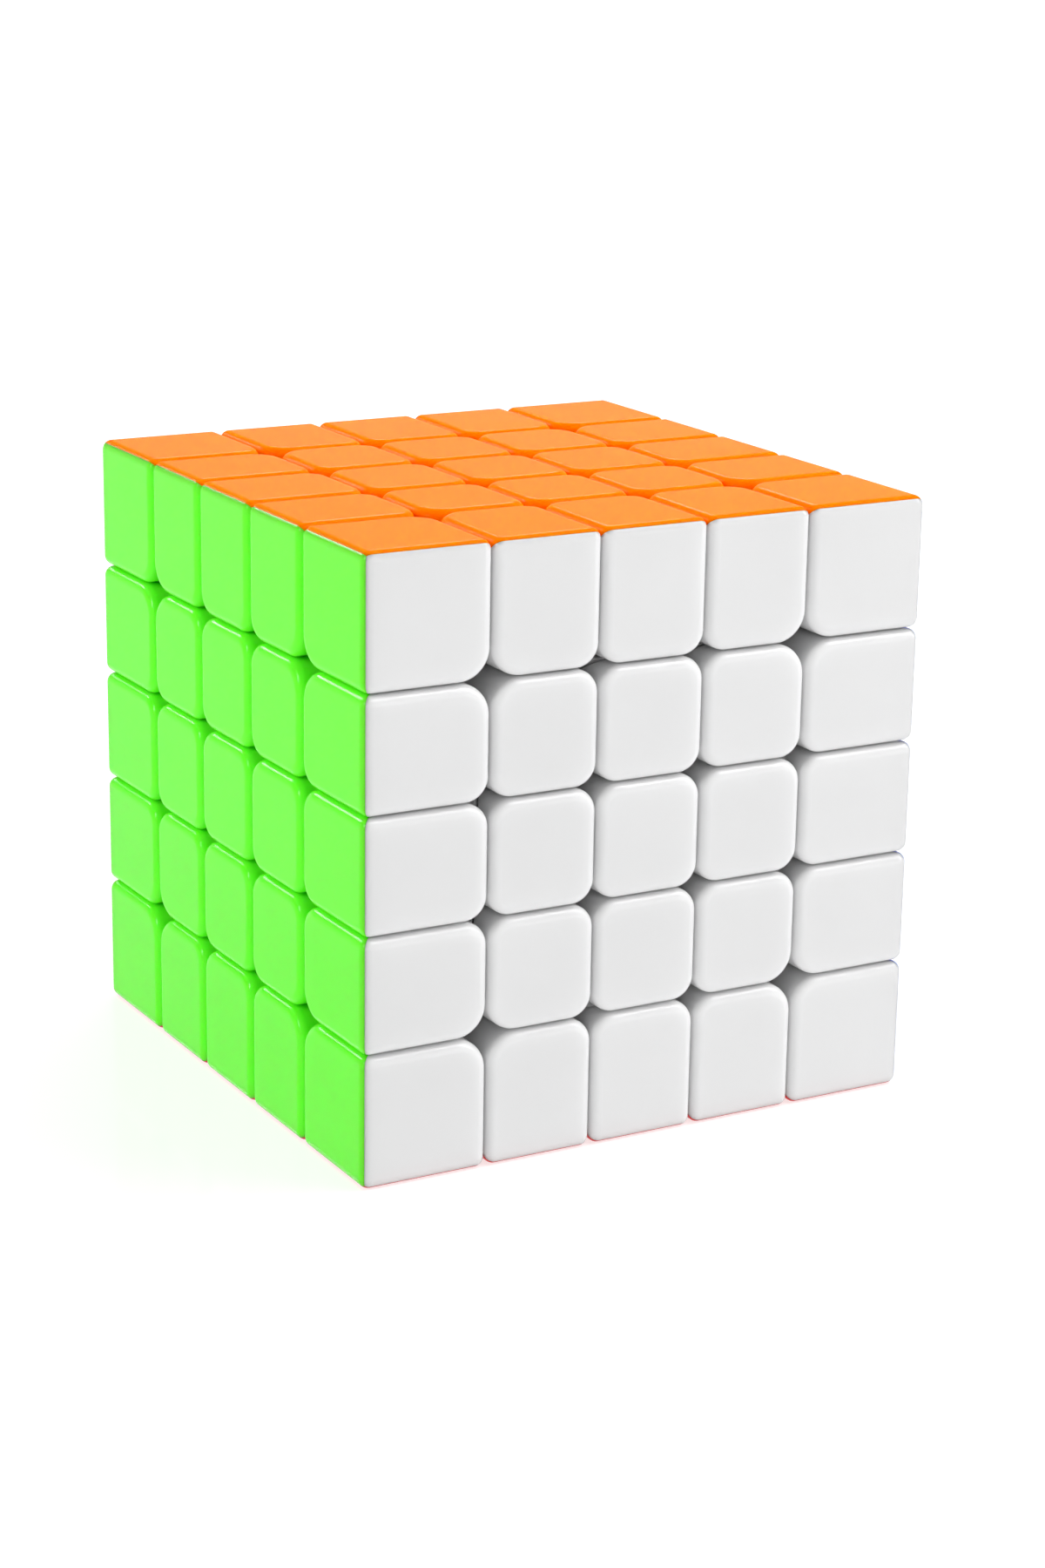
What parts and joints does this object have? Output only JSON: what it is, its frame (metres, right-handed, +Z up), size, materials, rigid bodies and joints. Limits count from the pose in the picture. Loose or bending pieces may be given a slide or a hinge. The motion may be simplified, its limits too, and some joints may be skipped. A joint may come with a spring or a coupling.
{
  "type": "twisty puzzle cube",
  "caption": "Twisty puzzle cube with stickerless coloured shells over interlocking feet on a sprung core; its layers turn about the vertical axis.",
  "frame": {"origin": "centre of the core, which is the centre of the cube", "axes": "+Z up through the orange face, -Y out of the white face, -X out of the green face"},
  "size_m": [0.062, 0.062, 0.062],
  "materials": {
    "orange_plastic": "smooth moulded, slightly glossy",
    "red_plastic": "smooth moulded, slightly glossy",
    "white_plastic": "smooth moulded, slightly glossy",
    "yellow_plastic": "smooth moulded, slightly glossy",
    "green_plastic": "smooth moulded, slightly glossy",
    "blue_plastic": "smooth moulded, slightly glossy",
    "foot_plastic": "moulded, satin",
    "core_plastic": "moulded, satin",
    "screw_steel": "plated",
    "spring_steel": "drawn wire",
    "washer_steel": "stamped"
  },
  "bodies": {
    "bottom_layer": {"blue_bottom_row_shells": "blue_plastic", "bottom_centre_hub": "foot_plastic", "bottom_corner_feet": "foot_plastic", "bottom_diagonal_centre_feet": "foot_plastic", "bottom_edge_feet": "foot_plastic", "bottom_side_centre_feet": "foot_plastic", "bottom_wing_feet": "foot_plastic", "green_bottom_row_shells": "green_plastic", "red_centre_cap": "red_plastic", "red_corner_shells": "red_plastic", "red_edge_shells": "red_plastic", "red_ring_caps": "red_plastic", "red_wing_shells": "red_plastic", "white_bottom_row_shells": "white_plastic", "yellow_bottom_row_shells": "yellow_plastic"},
    "middle_layer": {"blue_centre_cap": "blue_plastic", "blue_middle_row_shells": "blue_plastic", "centre_screws": "screw_steel", "centre_springs": "spring_steel", "core": "core_plastic", "green_centre_cap": "green_plastic", "green_middle_row_shells": "green_plastic", "middle_centre_hub": "foot_plastic", "middle_edge_feet": "foot_plastic", "middle_side_centre_feet": "foot_plastic", "spring_washers": "washer_steel", "white_centre_cap": "white_plastic", "white_middle_row_shells": "white_plastic", "yellow_centre_cap": "yellow_plastic", "yellow_middle_row_shells": "yellow_plastic"},
    "lower_layer": {"blue_lower_row_shells": "blue_plastic", "green_lower_row_shells": "green_plastic", "lower_diagonal_centre_feet": "foot_plastic", "lower_side_centre_feet": "foot_plastic", "lower_wing_feet": "foot_plastic", "white_lower_row_shells": "white_plastic", "yellow_lower_row_shells": "yellow_plastic"},
    "top_layer": {"blue_top_row_shells": "blue_plastic", "green_top_row_shells": "green_plastic", "orange_centre_cap": "orange_plastic", "orange_corner_shells": "orange_plastic", "orange_edge_shells": "orange_plastic", "orange_ring_caps": "orange_plastic", "orange_wing_shells": "orange_plastic", "top_centre_hub": "foot_plastic", "top_corner_feet": "foot_plastic", "top_diagonal_centre_feet": "foot_plastic", "top_edge_feet": "foot_plastic", "top_side_centre_feet": "foot_plastic", "top_wing_feet": "foot_plastic", "white_top_row_shells": "white_plastic", "yellow_top_row_shells": "yellow_plastic"},
    "upper_layer": {"blue_upper_row_shells": "blue_plastic", "green_upper_row_shells": "green_plastic", "upper_diagonal_centre_feet": "foot_plastic", "upper_side_centre_feet": "foot_plastic", "upper_wing_feet": "foot_plastic", "white_upper_row_shells": "white_plastic", "yellow_upper_row_shells": "yellow_plastic"}
  },
  "joints": [
    {"name": "top_turn", "type": "hinge", "parent": "middle_layer", "child": "top_layer", "pos_m": [0, 0, 0], "axis": [0, 0, 1], "continuous": true},
    {"name": "upper_turn", "type": "hinge", "parent": "middle_layer", "child": "upper_layer", "pos_m": [0, 0, 0], "axis": [0, 0, 1], "continuous": true},
    {"name": "lower_turn", "type": "hinge", "parent": "middle_layer", "child": "lower_layer", "pos_m": [0, 0, 0], "axis": [0, 0, 1], "continuous": true},
    {"name": "bottom_turn", "type": "hinge", "parent": "middle_layer", "child": "bottom_layer", "pos_m": [0, 0, 0], "axis": [0, 0, 1], "continuous": true}
  ]
}
